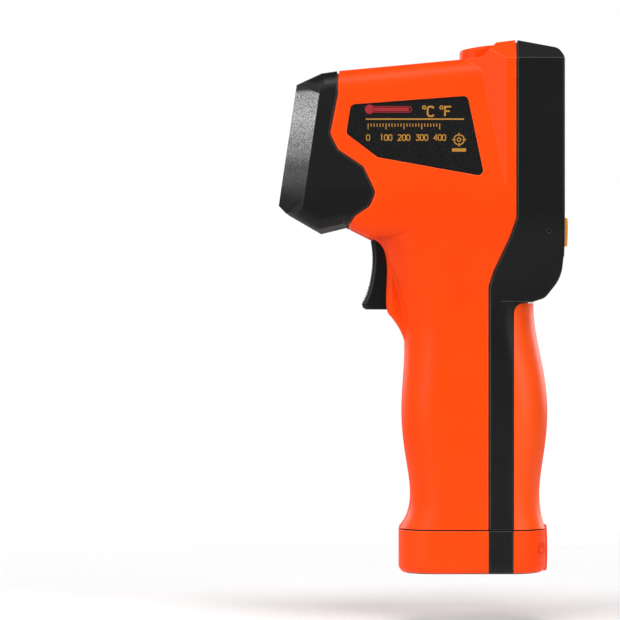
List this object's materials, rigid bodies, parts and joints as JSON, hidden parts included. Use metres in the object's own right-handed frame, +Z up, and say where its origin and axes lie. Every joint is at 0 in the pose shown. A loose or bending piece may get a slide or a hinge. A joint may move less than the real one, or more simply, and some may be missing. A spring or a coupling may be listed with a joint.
{
  "type": "infrared thermometer",
  "caption": "Orange and black pistol-grip infrared thermometer with a lit LCD, three keys, a trigger and a coin-lock battery cap.",
  "frame": {"origin": "centre of the flat foot of the battery cap, on the plane it stands on", "axes": "+Z up along the handle; the display faces -Y and the nose points +Y; +X is to the right of someone reading the display"},
  "size_m": [0.0458, 0.0828, 0.1529],
  "materials": {
    "orange_plastic": "satin",
    "orange_grip": "soft matt",
    "black_plastic": "fine matt",
    "label_black": "speckled satin",
    "amber_key": "satin",
    "red_key": "satin",
    "window_clear": "clear gloss",
    "lcd_glass": "gloss",
    "light_guide": "gloss",
    "zebra_rubber": "matt",
    "board_green": "solder mask, satin",
    "component_black": "satin",
    "steel": "bright",
    "nickel": "bright",
    "brass": "satin",
    "infrared_lens": "coated gloss",
    "ribbon_film": "satin",
    "wire_red": "satin",
    "cell_jacket": "satin"
  },
  "bodies": {
    "root": {"battery_holder": "component_black", "battery_leads": "wire_red", "battery_left": "cell_jacket", "battery_right": "cell_jacket", "board_screws": "steel", "bracket_screws": "steel", "button_switches": "component_black", "buzzer": "component_black", "connector_strips": "zebra_rubber", "contact_tabs": "nickel", "display_window": "window_clear", "front_housing": "orange_plastic", "housing_screws": "steel", "ir_lens": "infrared_lens", "label_plate_left": "label_black", "label_plate_right": "label_black", "laser_module": "brass", "laser_window": "window_clear", "lcd_backlight": "light_guide", "lcd_panel": "lcd_glass", "lens_barrel": "component_black", "lens_retainer": "component_black", "main_board": "board_green", "main_chip": "component_black", "nose_cover": "black_plastic", "optics_bracket": "component_black", "rear_grip_panel": "orange_grip", "rear_shell": "black_plastic", "sensor_board": "board_green", "sensor_ribbon": "ribbon_film", "thermopile_sensor": "steel", "top_button_spring": "steel", "top_button_switch": "board_green", "trigger_pin": "steel", "trigger_spring": "steel", "trigger_switch": "component_black"},
    "laser_key": {"button_laser": "amber_key"},
    "unit_key": {"button_unit": "red_key"},
    "light_key": {"button_light": "amber_key"},
    "trigger_lever": {"trigger": "black_plastic"},
    "knob": {"top_button": "orange_plastic"},
    "battery_cap": {"battery_cap_core": "black_plastic", "battery_cap_front": "orange_plastic", "battery_cap_rear": "orange_plastic", "cap_gasket": "zebra_rubber", "cap_contact_plate": "nickel", "cap_contact_springs": "steel"},
    "cap_lock": {"lock_disc": "orange_plastic", "lock_cam": "steel"}
  },
  "joints": [
    {"name": "laser_press", "type": "slide", "parent": "root", "child": "laser_key", "axis": [0, 1, 0], "range_m": [0, 0.0006], "stiffness_N_per_m": 900, "springref_m": -0.001},
    {"name": "unit_press", "type": "slide", "parent": "root", "child": "unit_key", "axis": [0, 1, 0], "range_m": [0, 0.0006], "stiffness_N_per_m": 900, "springref_m": -0.001},
    {"name": "light_press", "type": "slide", "parent": "root", "child": "light_key", "axis": [0, 1, 0], "range_m": [0, 0.0006], "stiffness_N_per_m": 900, "springref_m": -0.001},
    {"name": "trigger_pull", "type": "hinge", "parent": "root", "child": "trigger_lever", "pos_m": [0, 0.0205, 0.094], "axis": [-1, 0, 0], "range_deg": [0, 7], "stiffness_Nm_per_rad": 0.25, "springref_deg": -5.73, "deforming": ["trigger_spring"]},
    {"name": "knob_press", "type": "slide", "parent": "root", "child": "knob", "axis": [0, 0, -1], "range_m": [0, 0.0009], "stiffness_N_per_m": 900, "springref_m": -0.001, "deforming": ["top_button_spring"]},
    {"name": "cap_slide", "type": "slide", "parent": "root", "child": "battery_cap", "axis": [0, 0, -1], "range_m": [0, 0.015]},
    {"name": "lock_turn", "type": "hinge", "parent": "battery_cap", "child": "cap_lock", "pos_m": [0, -0.02, 0.00676], "axis": [0, 1, 0], "range_deg": [0, 90]}
  ]
}
